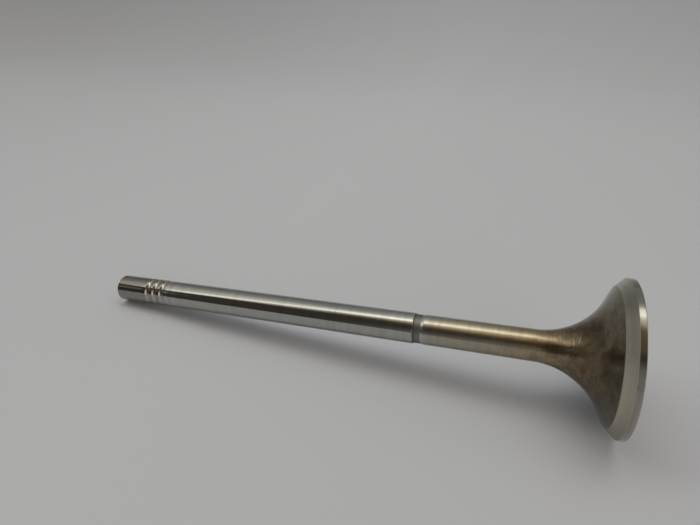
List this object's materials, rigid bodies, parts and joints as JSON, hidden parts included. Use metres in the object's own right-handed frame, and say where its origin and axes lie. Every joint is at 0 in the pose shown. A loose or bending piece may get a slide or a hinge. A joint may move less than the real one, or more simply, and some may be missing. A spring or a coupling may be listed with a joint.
{
  "type": "engine valve",
  "caption": "Long-stemmed poppet valve with a trumpet neck, ground conical seat, relieved lower stem with scraping edge, and round keeper grooves near the tip.",
  "frame": {"origin": "centre of the flat combustion face, where the valve stands", "axes": "+Z along the stem, from the combustion face to the tip; X and Y are any two directions across the stem"},
  "size_m": [0.04, 0.04, 0.162],
  "materials": {
    "valve_steel": "plated and ground stem, satin tip, heat-tinted neck, ground seat"
  },
  "bodies": {
    "root": {"valve": "valve_steel"}
  },
  "joints": []
}
